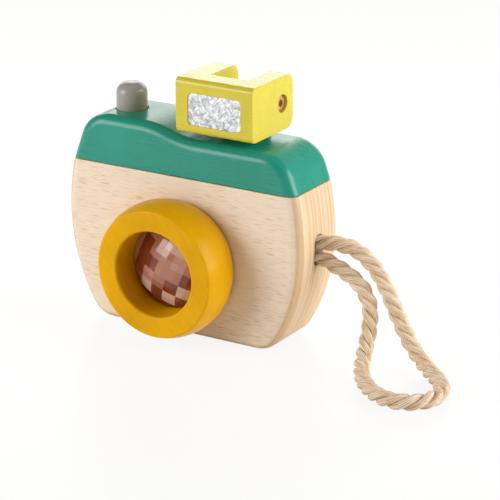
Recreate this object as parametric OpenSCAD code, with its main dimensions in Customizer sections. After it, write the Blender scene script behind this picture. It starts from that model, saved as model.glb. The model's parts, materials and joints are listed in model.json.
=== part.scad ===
// Wooden toy camera: a beech body under a painted cover, a turning kaleidoscope
// lens, a sprung shutter button, a tilting flash and a wrist loop of laid rope.
// Millimetres. X runs along the camera, the lens looks towards -Y and Z is up.
// The origin is the middle of the base.

/* [Body] */
// Width of the body at its widest line
body_w = 109; // [104:0.5:116]
// Height of the widest line above the base
belly_z = 44.5; // [40:0.5:48]
// Height of the seam between the body and the cover
seam_z = 66; // [62:0.5:70]
// Thickness of the board that the body and the cover are cut from
board_t = 31.5; // [28:0.5:34]
// Radius of each side below the widest line
side_r_low = 76; // [72:1:84]
// Radius of each side above the widest line
side_r_high = 96; // [88:1:120]
// Radius of the two bottom corners
foot_r = 11; // [8:0.5:13]
// Round-over along the front and back edges
edge_r = 4.25; // [3:0.25:5]

/* [Cover] */
// Height of the cover at the flash end
cover_low = 15.5; // [14:0.5:18]
// Extra height of the hump under the button
hump_rise = 4.6; // [3:0.2:6]
// Middle of the slope between the hump and the low end
step_x = -6; // [-9:0.5:-4]
// Length of that slope
step_len = 28; // [22:1:30]
// Lean of the two ends in degrees
end_lean = 20; // [14:1:24]
// Radius of the upper end corners
crown_r = 14; // [10:0.5:16]

/* [Lens] */
// Height of the lens axis above the base
lens_z = 31.5; // [30:0.5:34]
// Largest radius of the turned ring
ring_r = 27.85; // [26:0.25:29]
// How far the ring stands out from its back face
ring_depth = 19.5; // [18:0.5:24]
// Radius of the barrel flank
flank_r = 22; // [20:0.5:28]
// Distance of the ring's widest line from its front face
flank_front = 9.2; // [8:0.2:11]
// Radius of the bore that holds the stone
bore_r = 17.5; // [16:0.25:18]
// Eased radius of the ring's front edges
lip_r = 1; // [0.6:0.1:1.5]
// Depth of the stone's rim behind the front face
stone_deep = 12.5; // [11:0.5:14]
// Rise of the stone's dome over its rim
stone_rise = 6.5; // [4:0.5:8]
// Height of the stone's straight girdle
stone_girdle = 2; // [1.5:0.25:3]
// Width of one square facet of the stone
facet = 5.6; // [4:0.2:7]
// Turn of the facets in the ring in degrees
facet_turn = 23; // [0:1:45]
// Radius of the tenon that turns in the body
tenon_r = 20.5; // [19.5:0.25:22]
// Length of the tenon
tenon_len = 11.5; // [10:0.5:13]
// Radius of the clear bore behind the stone
light_r = 15.5; // [14.5:0.25:16]
// Radius of the viewing hole in the back
eye_r = 14.5; // [12:0.5:16]
// Radius of the pin that keeps the tenon in
pin_r = 1.6; // [1.2:0.1:1.8]
// Depth of the pin's groove in the tenon
groove_deep = 2.6; // [2:0.1:3]
// Wood left behind that groove
groove_wall = 1.5; // [1:0.25:2.5]

/* [Shutter button] */
// Distance of the button from the cover's left end, along the seam
button_in = 19.5; // [18:0.1:22]
// Radius of the button
button_r = 6.3; // [5.5:0.1:7]
// Height of the button over the hump
button_rise = 10.7; // [9:0.1:12]
// Radius of the button's rounded shoulder
button_round = 4.6; // [3:0.1:5]
// Travel of the button
button_travel = 4.5; // [3:0.5:5.5]
// Radius of the collar that keeps the button in
collar_r = 8.6; // [8:0.1:9.5]
// Thickness of the collar
collar_t = 3.5; // [3:0.5:5]
// Depth of the spring's pocket in the body
spring_pocket = 8; // [5:0.5:12]
// Wire thickness of the spring
wire = 0.9; // [0.6:0.1:1.2]
// Radius of the spring to the middle of its wire
spring_r = 4.2; // [3.5:0.1:5]
// Turns of the spring
spring_turns = 5; // [3:1:6]

/* [Flash] */
// Middle of the flash along the camera
flash_x = 16; // [13:0.5:18]
// Width of the flash
flash_w = 35; // [33:0.5:38]
// Height of the flash
flash_h = 22; // [20:0.5:24]
// Depth of the flash
flash_d = 30.7; // [29:0.1:33]
// Gap between the flash and the cover
flash_gap = 3.2; // [3:0.2:6]
// Round of the front edges
flash_front_r = 2.2; // [1.5:0.1:3]
// Round of the rear edges
flash_rear_r = 4.5; // [4:0.25:6]
// Width of the slot that takes the hinge block
slot_w = 17; // [15:0.5:19]
// Shift of the slot from the middle of the flash
slot_shift = 1; // [0:0.25:1.5]
// Solid front left before the slot
slot_front = 10.5; // [9:0.5:12]
// Distance of the hinge axis behind the front face
pivot_back = 22.7; // [21.5:0.1:23.5]
// Width of the reflector
foil_w = 23.7; // [20:0.1:26]
// Height of the reflector
foil_h = 12.8; // [10:0.1:14]
// How far the reflector sits below the middle of the front
foil_drop = 0.9; // [0:0.1:1.5]
// Corner radius of the reflector
foil_r = 2; // [1:0.25:4]
// Thickness of the reflector
foil_t = 0.4; // [0.3:0.1:0.8]
// Depth of the pocket that the reflector lies in
foil_pocket = 0.8; // [0.8:0.1:1.2]

/* [Hinge] */
// Radius of the hinge block's round top
knuckle_r = 6; // [5:0.25:6.5]
// Radius of the screw shanks that the flash turns on
screw_r = 2; // [1.5:0.1:2.2]
// Radius of the screw heads
head_r = 3.3; // [3:0.1:3.6]
// Height of the screw heads
head_h = 2.4; // [2:0.1:3]
// Width across the corners of the hex socket
socket_w = 3.2; // [2.5:0.1:3.6]
// Wood left under each screw head
head_wall = 4.4; // [3.4:0.2:4.6]
// Length of thread in the block
thread_len = 6.5; // [5:0.5:7]
// Width of the block's tenon
block_tenon_w = 11; // [8:0.5:12]
// Depth of the block's tenon from front to back
block_tenon_d = 7; // [5:0.5:8]
// Length of the block's tenon
block_tenon_h = 9; // [6:0.5:11]

/* [Rope] */
// Thickness of the rope
rope_d = 6.5; // [5.5:0.25:6.75]
// Thickness of each end where it is squeezed into the hole
rope_end_d = 6; // [5:0.1:6.2]
// Length over which each end swells to its full thickness
rope_swell = 4; // [4:0.5:8]
// Height of the rope hole above the base
rope_z = 41.2; // [40.8:0.1:41.6]
// Depth of the rope hole
rope_hole_deep = 18.5; // [18.5:0.1:20]

/* [Dowels and fits] */
// Radius of the dowels between the cover and the body
dowel_r = 4; // [3:0.25:4.5]
// Length of a dowel in each of the two pieces
dowel_half = 9; // [7:0.5:11]
// Distance of the left dowel from the button
dowel_aside = 17.4; // [15.4:0.2:19.4]
// Distance of the right dowel from the cover's right end, along the seam
dowel_in = 11; // [10:0.5:14]
// Gap round glued pieces
glue_gap = 0.1; // [0.05:0.05:0.15]
// Gap of pieces that turn or slide
run_gap = 0.3; // [0.2:0.05:0.4]
// Gap of the flash on its screw shanks
pivot_gap = 0.08; // [0.04:0.02:0.1]
// Gap round the screw threads in the hinge block
thread_gap = 0.03; // [0.02:0.01:0.05]
// Gap round the button in the cover
button_gap = 0.45; // [0.3:0.05:0.6]
// Gap between the hinge block and each arm of the flash
arm_gap = 0.7; // [0.4:0.1:0.9]
// Gap between the lens ring and the body
ring_gap = 0.5; // [0.3:0.1:0.8]

/* [Hidden] */
$fn = 64;
// Sides of the spring's wire and of the rope
wire_sides = 6;
rope_sides = 8;
// Cutters run this far past the faces that they open
past = 1;
half_t = board_t / 2;
// Half width of the body at the seam and the lean of its side there
side_turn = asin((seam_z - belly_z) / side_r_high);
seam_half = body_w / 2 - side_r_high * (1 - cos(side_turn));
// Places along the seam, taken from its ends
button_x = seam_half - button_in;
dowel_left_x = dowel_aside - button_x;
dowel_right_x = seam_half - dowel_in;
// Heights of the cover's two levels
low_z = seam_z + cover_low;
high_z = low_z + hump_rise;
// Lens, from the back of its ring to its front
ring_back = -half_t - ring_gap;
ring_front = ring_back - ring_depth;
rim_y = ring_front + stone_deep;
stone_back = rim_y + stone_girdle;
tenon_end = ring_back + tenon_len;
recess_floor = tenon_end + ring_gap;
// The pin's groove in the tenon
groove_w = 2 * pin_r + 2 * run_gap;
groove_y = tenon_end - groove_wall - groove_w / 2;
groove_r = tenon_r - groove_deep;
// Shutter button, from its collar up: a full press brings the collar down to the body
collar_bottom = seam_z + button_travel + run_gap;
collar_top = collar_bottom + collar_t;
button_top = high_z + button_rise;
spring_floor = seam_z - spring_pocket;
// Flash and its hinge
flash_front = -half_t;
flash_left = flash_x - flash_w / 2;
flash_bottom = low_z + flash_gap;
slot_x = flash_x + slot_shift;
block_w = slot_w - 2 * arm_gap;
pivot_y = flash_front + pivot_back;
pivot_z = flash_bottom + flash_h / 2;
foil_z = pivot_z - foil_drop;
// Side of the body where the rope goes in
rope_side = body_w / 2 - side_r_low + sqrt(pow(side_r_low, 2) - pow(belly_z - rope_z, 2));
rope_floor = rope_side - rope_hole_deep;

// The loop outside the hole: how far out from the side, how far back, and its height,
// where 0 rests on the table and 1 is level with the hole
rope_loop = [
    [7, 1.5, 1.09], [14, 3.2, 1.05], [20.4, 3.8, 0.94], [25.8, 3.5, 0.79], [30, 2.8, 0.62], [33.6, 2.5, 0.44],
    [37.4, 2, 0.27], [42.2, 0.5, 0.12], [48.6, -3.4, 0.03], [55.6, -9, 0], [62.2, -15.6, 0], [66, -22.8, 0],
    [65.8, -30.4, 0], [61.2, -36.6, 0], [54, -39.2, 0], [46.4, -37.2, 0], [39.6, -32, 0], [33.6, -25, 0],
    [29, -17, 0.03], [26.2, -9.4, 0.13], [25, -4, 0.3], [23.8, -1.5, 0.48], [20.6, -0.5, 0.65], [15, 0, 0.77],
    [7.6, 0, 0.86]];
// The two ends lie one over the other in a hole that is drilled twice
end_shift = (rope_end_d + run_gap) / 2;
rope_hole_r = rope_end_d / 2 + run_gap;
rope_inside = [rope_floor + glue_gap, (rope_floor + rope_side) / 2, rope_side];
rope_rest = rope_d / 2 + run_gap;
rope_route = concat(
    [for (i = [0 : 2]) [rope_inside[i], 0, rope_z + end_shift]],
    [for (p = rope_loop) [rope_side + p[0], p[1], rope_rest + p[2] * (rope_z - rope_rest)]],
    [for (i = [2 : -1 : 0]) [rope_inside[i], 0, rope_z - end_shift]]);

// Points of an arc in a plane
function arc(centre, r, from, to, steps) =
    [for (i = [0 : steps]) let (a = from + (to - from) * i / steps) centre + r * [cos(a), sin(a)]];

// Points of an outline's arc, each with the direction in which its edge is rounded.
// A hollow arc has its centre outside the wood, so its side is -1.
function edge_arc(centre, r, from, to, steps, side = 1) =
    [for (i = [0 : steps]) let (a = from + (to - from) * i / steps, n = [cos(a), sin(a)])
        [centre + r * n, side * n]];

// The right half of the body's outline, from the base up to the seam
foot_x = body_w / 2 - side_r_low + sqrt(pow(side_r_low - foot_r, 2) - pow(belly_z - foot_r, 2));
foot_turn = asin((belly_z - foot_r) / (side_r_low - foot_r));
body_right = concat(
    edge_arc([foot_x, foot_r], foot_r, -90, -foot_turn, 6),
    edge_arc([body_w / 2 - side_r_low, belly_z], side_r_low, -foot_turn, 0, 9),
    edge_arc([body_w / 2 - side_r_high, belly_z], side_r_high, 0, side_turn, 5),
    [[[seam_half, seam_z], [1 / cos(side_turn), 0]]]);

// The other half is its mirror image, taken backwards
function mirrored(edge) =
    [for (i = [len(edge) - 1 : -1 : 0]) let (p = edge[i][0], n = edge[i][1]) [[-p[0], p[1]], [-n[0], n[1]]]];

// Middle of a crown corner: it touches the leaning end and a top at height top_z
function crown_centre(top_z) = let (z = top_z - crown_r)
    [seam_half - (crown_r + sin(end_lean) * (z - seam_z)) / cos(end_lean), z];

// Outline of the cover: up the right end, down the slope's length and down the left end
step_r = (pow(step_len, 2) + pow(hump_rise, 2)) / (4 * hump_rise);
step_turn = asin(step_len / 2 / step_r);
cover_corner = [[seam_half, seam_z], [1 / cos(end_lean), 0]];
left_crown = crown_centre(high_z);
cover_edge = concat(
    [cover_corner],
    edge_arc(crown_centre(low_z), crown_r, end_lean, 90, 7),
    edge_arc([step_x + step_len / 2, low_z + step_r], step_r, -90, -90 - step_turn, 6, -1),
    edge_arc([step_x - step_len / 2, high_z - step_r], step_r, 90 - step_turn, 90, 6),
    edge_arc([-left_crown[0], left_crown[1]], crown_r, 90, 180 - end_lean, 7),
    mirrored([cover_corner]));

// A board sawn to an outline, with its front and back edges rounded over
module rounded_board(edge) {
    steps = 4;
    count = len(edge);
    front = [for (i = [0 : steps]) let (a = 90 * i / steps)
        [-half_t + edge_r * (1 - cos(a)), edge_r * (1 - sin(a))]];
    back = [for (i = [steps : -1 : 0]) [-front[i][0], front[i][1]]];
    rings = concat(front, back);
    points = [for (ring = rings) for (e = edge) let (p = e[0] - ring[1] * e[1]) [p[0], ring[0], p[1]]];
    last = (len(rings) - 1) * count;
    polyhedron(points, concat(
        [[for (i = [count - 1 : -1 : 0]) i]],
        skin(len(rings), count),
        [[for (i = [0 : count - 1]) last + i]]));
}

// Triangles between rings of points that follow each other
function skin(rings, count) = [for (r = [0 : rings - 2]) for (i = [0 : count - 1])
    let (a = r * count + i, b = r * count + (i + 1) % count, c = a + count, d = b + count)
    for (face = [[a, b, d], [a, d, c]]) face];

// A round tube along a path, with a radius for each point
module tube(path, radii, sides) {
    count = len(path);
    function tangent(i) = let (d = path[min(i + 1, count - 1)] - path[max(i - 1, 0)]) d / norm(d);
    points = [for (i = [0 : count - 1])
        let (t = tangent(i), s = cross(t, [0, 0, 1]), side = s / norm(s), up = cross(side, t))
        for (k = [0 : sides - 1]) let (a = 360 * k / sides)
            path[i] + radii[i] * (cos(a) * side + sin(a) * up)];
    last = (count - 1) * sides;
    polyhedron(points, concat(
        [[for (k = [sides - 1 : -1 : 0]) k]],
        skin(count, sides),
        [[for (k = [0 : sides - 1]) last + k]]));
}

// A rectangle with round corners, drawn from its middle
module rounded_rectangle(w, h, r) {
    square([w - 2 * r, h], center = true);
    square([w, h - 2 * r], center = true);
    for (x = [-1, 1], y = [-1, 1])
        translate([x * (w / 2 - r), y * (h / 2 - r)])
            circle(r);
}

// A hole drilled at two places, with the wood between them cleared, drawn from its middle
module long_hole(r, shift) {
    square([2 * shift, 2 * r], center = true);
    for (x = [-shift, shift])
        translate([x, 0])
            circle(r);
}

// Places a shape that was drawn upright along the lens axis, front end first
module on_lens_axis() {
    translate([0, 0, lens_z])
        rotate([-90, 0, 0])
            children();
}

// A bore along the lens axis from one depth to another
module lens_bore(r, from, to) {
    on_lens_axis()
        translate([0, 0, from])
            cylinder(r = r, h = to - from);
}

// A dowel hole or a dowel across the seam
module across_seam(x, r, half) {
    translate([x, 0, seam_z - half])
        cylinder(r = r, h = 2 * half);
}

// Body with the lens recess, the viewing hole, the rope hole and the blind holes under the cover
module beech_body() {
    color("#e8cfa8")
    difference() {
        rounded_board(concat(body_right, mirrored(body_right)));
        lens_bore(tenon_r + run_gap, -half_t - past, recess_floor);
        lens_bore(eye_r, recess_floor - past, half_t + past);
        translate([rope_floor, 0, rope_z])
            rotate([0, 90, 0])
                linear_extrude(rope_hole_deep + past)
                    long_hole(rope_hole_r, end_shift);
        translate([0, groove_y, lens_z])
            cylinder(r = pin_r + glue_gap, h = seam_z - lens_z + past);
        translate([-button_x, 0, spring_floor])
            cylinder(r = spring_r + wire, h = spring_pocket + past);
        for (x = [dowel_left_x, dowel_right_x])
            across_seam(x, dowel_r + glue_gap, dowel_half + glue_gap);
    }
}

// Cover with the stepped bore of the button, the mortise of the hinge block and two dowel holes
module top_cover() {
    color("#2f8a70")
    difference() {
        rounded_board(cover_edge);
        translate([-button_x, 0, seam_z - past])
            cylinder(r = button_r + button_gap, h = cover_low + hump_rise + 2 * past);
        translate([-button_x, 0, seam_z - past])
            cylinder(r = collar_r + button_gap, h = collar_top + run_gap - seam_z + past);
        translate([slot_x, pivot_y, low_z])
            cube([block_tenon_w + 2 * glue_gap, block_tenon_d + 2 * glue_gap,
                  2 * (block_tenon_h + glue_gap)], center = true);
        for (x = [dowel_left_x, dowel_right_x])
            across_seam(x, dowel_r + glue_gap, dowel_half + glue_gap);
    }
}

module cover_dowel_left() {
    color("#d9b98c") across_seam(dowel_left_x, dowel_r, dowel_half);
}

module cover_dowel_right() {
    color("#d9b98c") across_seam(dowel_right_x, dowel_r, dowel_half);
}

// Profile of the turned ring: barrel flank, eased lips, stepped bore, tenon and pin groove
function ring_profile() = let (
    wide = [ring_r - flank_r, ring_front + flank_front],
    front_half = sqrt(pow(flank_r - lip_r, 2) - pow(flank_front - lip_r, 2)),
    lip = [wide[0] + front_half, ring_front + lip_r],
    lip_turn = atan2(lip_r - flank_front, front_half),
    back_turn = asin((ring_back - wide[1]) / flank_r))
    concat(
        arc([bore_r + lip_r, ring_front + lip_r], lip_r, 180, 270, 5),
        arc(lip, lip_r, -90, lip_turn, 5),
        arc(wide, flank_r, lip_turn, back_turn, 14),
        [[tenon_r, ring_back], [tenon_r, groove_y - groove_w / 2], [groove_r, groove_y - groove_w / 2],
         [groove_r, groove_y + groove_w / 2], [tenon_r, groove_y + groove_w / 2], [tenon_r, tenon_end],
         [light_r, tenon_end], [light_r, stone_back + glue_gap], [bore_r, stone_back + glue_gap]]);

module lens_ring() {
    color("#dfa617")
    on_lens_axis()
        rotate_extrude()
            polygon(ring_profile());
}

// Rise of the stone's dome over its back: a bowl shape, so that every square of a grid is flat
function dome(x, y) = stone_girdle + stone_rise * (1 - (x * x + y * y) / pow(bore_r, 2));

// Stone with a domed face cut into squares, seated on the ledge of the ring's bore
module kaleidoscope_lens() {
    half = ceil(bore_r / facet);
    count = 2 * half + 1;
    lines = [for (i = [-half : half]) i * facet];
    top = [for (y = lines) for (x = lines) [x, y, dome(x, y)]];
    floor_z = dome(half * facet, half * facet) - stone_rise;
    base = [for (y = lines) for (x = lines) [x, y, floor_z]];
    under = len(top);
    cells = [for (j = [0 : count - 2]) for (i = [0 : count - 2]) j * count + i];
    rim = concat(
        [for (i = [0 : count - 1]) i],
        [for (j = [1 : count - 1]) j * count + count - 1],
        [for (i = [count - 2 : -1 : 0]) (count - 1) * count + i],
        [for (j = [count - 2 : -1 : 1]) j * count]);
    wall = [for (i = [0 : len(rim) - 1]) let (a = rim[i], b = rim[(i + 1) % len(rim)])
        [a, b, under + b, under + a]];
    color("#c98a75")
    on_lens_axis()
        translate([0, 0, stone_back])
            mirror([0, 0, 1])
                rotate([0, 0, facet_turn])
                    intersection() {
                        polyhedron(concat(top, base), concat(
                            [for (c = cells) [c, c + count, c + count + 1, c + 1]],
                            [for (c = cells) [under + c, under + c + 1, under + c + count + 1, under + c + count]],
                            wall));
                        cylinder(r = bore_r - glue_gap, h = stone_girdle + stone_rise + past);
                    }
}

// Pin that drops into the tenon's groove from under the cover
module lens_pin() {
    color("#c9a877")
    translate([0, groove_y, lens_z + groove_r + run_gap])
        cylinder(r = pin_r, h = seam_z - lens_z - groove_r - 2 * run_gap);
}

// Turned button with a rounded shoulder, a low crown and a collar under the cover
module shutter_button() {
    flat_r = button_r - button_round;
    color("#8f8f8c")
    translate([-button_x, 0, 0])
        rotate_extrude()
            polygon(concat(
                [[0, collar_bottom], [collar_r, collar_bottom], [collar_r, collar_top], [button_r, collar_top]],
                arc([flat_r, button_top - button_round], button_round, 0, 90, 8),
                [[0, button_top]]));
}

// Points of the spring's wire, from the pocket's floor up to the collar
spring_rise = collar_bottom - spring_floor - wire - 2 * run_gap;
turn_steps = 8;
spring_steps = turn_steps * spring_turns;
spring_path = [for (i = [0 : spring_steps]) let (a = 360 * i / turn_steps)
    [spring_r * cos(a) - button_x, spring_r * sin(a),
     spring_floor + run_gap + wire / 2 + spring_rise * i / spring_steps]];
half_turn = turn_steps / 2 + 1;
spring_gap = min([for (i = [0 : spring_steps - half_turn]) for (j = [i + half_turn : spring_steps])
    norm(spring_path[i] - spring_path[j])]) - wire;

module button_spring() {
    echo(spring_gap = spring_gap);
    color("#b9bcc0")
    tube(spring_path, [for (p = spring_path) wire / 2], wire_sides);
}

// A shape drawn in the Y and Z plane, pulled along X from one place to another
module along_x(from, to) {
    translate([from, 0, 0])
        rotate([90, 0, 90])
            linear_extrude(to - from)
                children();
}

// Bore along the hinge axis
module hinge_bore(r, from, to) {
    translate([from, pivot_y, pivot_z])
        rotate([0, 90, 0])
            cylinder(r = r, h = to - from);
}

// Block with a round top, tenoned into the cover
module hinge_block() {
    color("#27725c")
    difference() {
        union() {
            along_x(slot_x - block_w / 2, slot_x + block_w / 2) {
                translate([pivot_y - knuckle_r, low_z])
                    square([2 * knuckle_r, pivot_z - low_z]);
                translate([pivot_y, pivot_z])
                    circle(knuckle_r);
            }
            translate([slot_x - block_tenon_w / 2, pivot_y - block_tenon_d / 2, low_z - block_tenon_h])
                cube([block_tenon_w, block_tenon_d, block_tenon_h + past]);
        }
        for (side = [-1, 1])
            translate([slot_x + side * block_w / 2, pivot_y, pivot_z])
                rotate([0, -90 * side, 0])
                    translate([0, 0, -past])
                        cylinder(r = screw_r + thread_gap, h = thread_len + glue_gap + past);
    }
}

// Screw with a round head and a hex socket, drawn upright with its head's underside at the bottom
module hinge_screw(reach) {
    color("#b0713c")
    difference() {
        union() {
            cylinder(r = head_r, h = head_h);
            translate([0, 0, -reach])
                cylinder(r = screw_r, h = reach + past);
        }
        translate([0, 0, head_h / 2])
            cylinder(d = socket_w, h = head_h, $fn = 6);
    }
}

// A screw reaches through the wood under its head and the arm's gap into the block
screw_reach = run_gap + head_wall + arm_gap + thread_len;

module hinge_screw_left() {
    translate([slot_x - slot_w / 2 - head_wall - run_gap, pivot_y, pivot_z])
        rotate([0, -90, 0])
            hinge_screw(screw_reach);
}

module hinge_screw_right() {
    translate([slot_x + slot_w / 2 + head_wall + run_gap, pivot_y, pivot_z])
        rotate([0, 90, 0])
            hinge_screw(screw_reach);
}

// Side view of the flash: small rounds in front, larger ones behind
module flash_side() {
    y0 = flash_front;
    y1 = flash_front + flash_d;
    z1 = flash_bottom + flash_h;
    translate([y0 + flash_front_r, flash_bottom])
        square([flash_d - flash_front_r - flash_rear_r, flash_h]);
    translate([y0, flash_bottom + flash_front_r])
        square([flash_d / 2, flash_h - 2 * flash_front_r]);
    translate([y0 + flash_d / 2, flash_bottom + flash_rear_r])
        square([flash_d / 2, flash_h - 2 * flash_rear_r]);
    for (z = [flash_bottom + flash_front_r, z1 - flash_front_r])
        translate([y0 + flash_front_r, z])
            circle(flash_front_r);
    for (z = [flash_bottom + flash_rear_r, z1 - flash_rear_r])
        translate([y1 - flash_rear_r, z])
            circle(flash_rear_r);
}

// Flash block with its slot for the hinge, stepped screw bores and the reflector's pocket
module flash_housing() {
    color("#f0dc50")
    difference() {
        along_x(flash_left, flash_left + flash_w)
            flash_side();
        translate([slot_x - slot_w / 2, flash_front + slot_front, flash_bottom - past])
            cube([slot_w, flash_d, flash_h + 2 * past]);
        hinge_bore(screw_r + pivot_gap, flash_left - past, flash_left + flash_w + past);
        hinge_bore(head_r + run_gap, flash_left - past, slot_x - slot_w / 2 - head_wall);
        hinge_bore(head_r + run_gap, slot_x + slot_w / 2 + head_wall, flash_left + flash_w + past);
        translate([flash_x, flash_front + foil_pocket, foil_z])
            rotate([90, 0, 0])
                linear_extrude(foil_pocket + past)
                    rounded_rectangle(foil_w + 2 * glue_gap, foil_h + 2 * glue_gap, foil_r + glue_gap);
    }
}

module reflector_foil() {
    color("#e4e6e8")
    translate([flash_x, flash_front + foil_pocket, foil_z])
        rotate([90, 0, 0])
            linear_extrude(foil_t)
                rounded_rectangle(foil_w, foil_h, foil_r);
}

// A smooth curve through the route, halved between its points
function between(a, b, c, d, t) = (2 * b + (c - a) * t + (2 * a - 5 * b + 4 * c - d) * t * t
    + (3 * b - a - 3 * c + d) * t * t * t) / 2;

module wrist_rope() {
    last = len(rope_route) - 1;
    path = [for (i = [0 : last]) for (t = i == last ? [0] : [0, 0.5])
        between(rope_route[max(i - 1, 0)], rope_route[i], rope_route[min(i + 1, last)],
                rope_route[min(i + 2, last)], t)];
    radii = [for (p = path) let (out = min(max((p[0] - rope_side) / rope_swell, 0), 1))
        (rope_end_d + (rope_d - rope_end_d) * out) / 2];
    color("#d4b68c")
    tube(path, radii, rope_sides);
}

beech_body();
top_cover();
cover_dowel_left();
cover_dowel_right();
lens_ring();
kaleidoscope_lens();
lens_pin();
shutter_button();
button_spring();
hinge_block();
hinge_screw_left();
hinge_screw_right();
flash_housing();
reflector_foil();
wrist_rope();
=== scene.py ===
# %% [markdown]
# # A wooden toy camera
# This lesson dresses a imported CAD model. The solids give every size and every joint, and Blender
# adds what a solid can't show: wood grain, paint, polished facets, crumpled foil and laid rope.
# Each piece below sits exactly where its solid sits, so the toy can still be moved.

# %% Frame
import json
import math

import bmesh
import bpy
import numpy as np
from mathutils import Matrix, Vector

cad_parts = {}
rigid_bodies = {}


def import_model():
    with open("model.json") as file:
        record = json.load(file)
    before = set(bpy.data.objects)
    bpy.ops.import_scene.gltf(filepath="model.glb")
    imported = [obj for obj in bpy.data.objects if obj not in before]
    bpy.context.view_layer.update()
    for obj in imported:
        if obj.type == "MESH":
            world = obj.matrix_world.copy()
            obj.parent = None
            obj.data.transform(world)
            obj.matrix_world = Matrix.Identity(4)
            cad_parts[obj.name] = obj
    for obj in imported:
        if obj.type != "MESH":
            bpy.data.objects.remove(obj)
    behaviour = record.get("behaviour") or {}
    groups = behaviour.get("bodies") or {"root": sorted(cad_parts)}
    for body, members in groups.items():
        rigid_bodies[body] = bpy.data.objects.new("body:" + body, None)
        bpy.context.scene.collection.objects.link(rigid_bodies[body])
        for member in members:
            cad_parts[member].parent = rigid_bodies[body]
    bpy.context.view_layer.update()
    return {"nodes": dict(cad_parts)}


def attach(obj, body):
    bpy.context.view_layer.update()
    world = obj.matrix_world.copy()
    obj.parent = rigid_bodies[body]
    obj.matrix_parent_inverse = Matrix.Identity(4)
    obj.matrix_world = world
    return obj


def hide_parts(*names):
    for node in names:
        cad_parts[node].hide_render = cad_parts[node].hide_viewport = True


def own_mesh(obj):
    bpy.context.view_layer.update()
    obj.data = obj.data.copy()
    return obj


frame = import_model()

MM = 0.001

# %% [markdown]
# ## Camera
# The toy stands on a table, seen from the front right and a little above, through a long lens.
# A long lens keeps the edges nearly parallel, so the distance matters as much as the angle. The
# camera is placed on a line from the point it looks at, which is easier to adjust than a location.

# %% Camera
AZIMUTH, ELEVATION = math.radians(31.301), math.radians(19.398)
DISTANCE, AIM = 955.557 * MM, Vector((22.85, 0, 35.39)) * MM
SENSOR, FOCAL_LENGTH = 36, 173.04
towards_camera = Vector((
    math.sin(AZIMUTH) * math.cos(ELEVATION),
    -math.cos(AZIMUTH) * math.cos(ELEVATION),
    math.sin(ELEVATION)))
camera = bpy.data.objects.new("view", bpy.data.cameras.new("view"))
camera.data.sensor_width, camera.data.lens = SENSOR, FOCAL_LENGTH
camera.data.clip_start, camera.data.clip_end = 0.05, 20
camera.location = AIM + DISTANCE * towards_camera
camera.rotation_euler = (-towards_camera).to_track_quat("-Z", "Y").to_euler()
bpy.context.scene.collection.objects.link(camera)
bpy.context.scene.camera = camera
print("camera at", [round(x, 3) for x in camera.location])

# %% [markdown]
# ## Rope
# The wrist loop is a three-strand rope: yarns are spun into strands one way, and the strands are
# laid together the other way, here like the middle stroke of an S. Both ends are glued into one
# hole. A tube with a picture of rope would lose its edges, so every strand is swept along its own
# helix round the route, and the yarns are ridges in the mesh, drawn a little thicker than real ones
# so that they show.

# %% Rope route
BODY_HALF, BELLY_Z, SIDE_LOW = 54.5, 44.5, 76  # half width, its height, the lower side's radius
ROPE_D, ROPE_END_D, ROPE_SWELL = 6.5, 6, 4  # thickness, in the hole, and the length between
ROPE_Z, ROPE_DEEP = 41.2, 18.5  # height and depth of the hole
RUN_GAP, GLUE_GAP = 0.3, 0.1  # play between moving pieces, and room for glue
POINT_SPACING = 0.6
rope_side = BODY_HALF - SIDE_LOW + math.sqrt(SIDE_LOW ** 2 - (BELLY_Z - ROPE_Z) ** 2)
rope_floor = rope_side - ROPE_DEEP
rope_rest = ROPE_D / 2 + RUN_GAP
end_shift = (ROPE_END_D + RUN_GAP) / 2
# Each point is its distance out from the side, its distance back, and its height, where 0 rests on
# the table and 1 is level with the hole.
loop = np.array([
    [7, 1.5, 1.09], [14, 3.2, 1.05], [20.4, 3.8, 0.94], [25.8, 3.5, 0.79], [30, 2.8, 0.62],
    [33.6, 2.5, 0.44], [37.4, 2, 0.27], [42.2, 0.5, 0.12], [48.6, -3.4, 0.03], [55.6, -9, 0],
    [62.2, -15.6, 0], [66, -22.8, 0], [65.8, -30.4, 0], [61.2, -36.6, 0], [54, -39.2, 0],
    [46.4, -37.2, 0], [39.6, -32, 0], [33.6, -25, 0], [29, -17, 0.03], [26.2, -9.4, 0.13],
    [25, -4, 0.3], [23.8, -1.5, 0.48], [20.6, -0.5, 0.65], [15, 0, 0.77], [7.6, 0, 0.86]])
outside = loop * (1, 1, ROPE_Z - rope_rest) + (rope_side, 0, rope_rest)
in_hole = np.array([rope_floor + GLUE_GAP, (rope_floor + rope_side) / 2, rope_side])[:, None]
route = np.vstack([
    in_hole * (1, 0, 0) + (0, 0, ROPE_Z + end_shift), outside,
    in_hole[::-1] * (1, 0, 0) + (0, 0, ROPE_Z - end_shift)])


def smooth_line(points, spacing, steps=40):
    """A smooth curve through the points, with its own points at an even spacing."""
    ends = np.vstack([points[0], points, points[-1]])
    t = np.linspace(0, 1, steps, endpoint=False)[:, None]
    pieces = []
    for a, b, c, d in zip(ends, ends[1:], ends[2:], ends[3:]):
        pieces.append((2 * b + (c - a) * t + (2 * a - 5 * b + 4 * c - d) * t ** 2
                       + (3 * b - a - 3 * c + d) * t ** 3) / 2)
    line = np.vstack(pieces + [points[-1:]])
    run = np.concatenate([[0], np.cumsum(np.linalg.norm(np.diff(line, axis=0), axis=1))])
    stops = np.linspace(0, run[-1], int(run[-1] / spacing) + 1)
    return np.stack([np.interp(stops, run, line[:, i]) for i in range(3)], axis=1), stops


def unit(vectors):
    return vectors / np.linalg.norm(vectors, axis=-1, keepdims=True)


centreline, run = smooth_line(route, POINT_SPACING)
print("rope centreline:", round(run[-1], 1), "mm")

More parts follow.
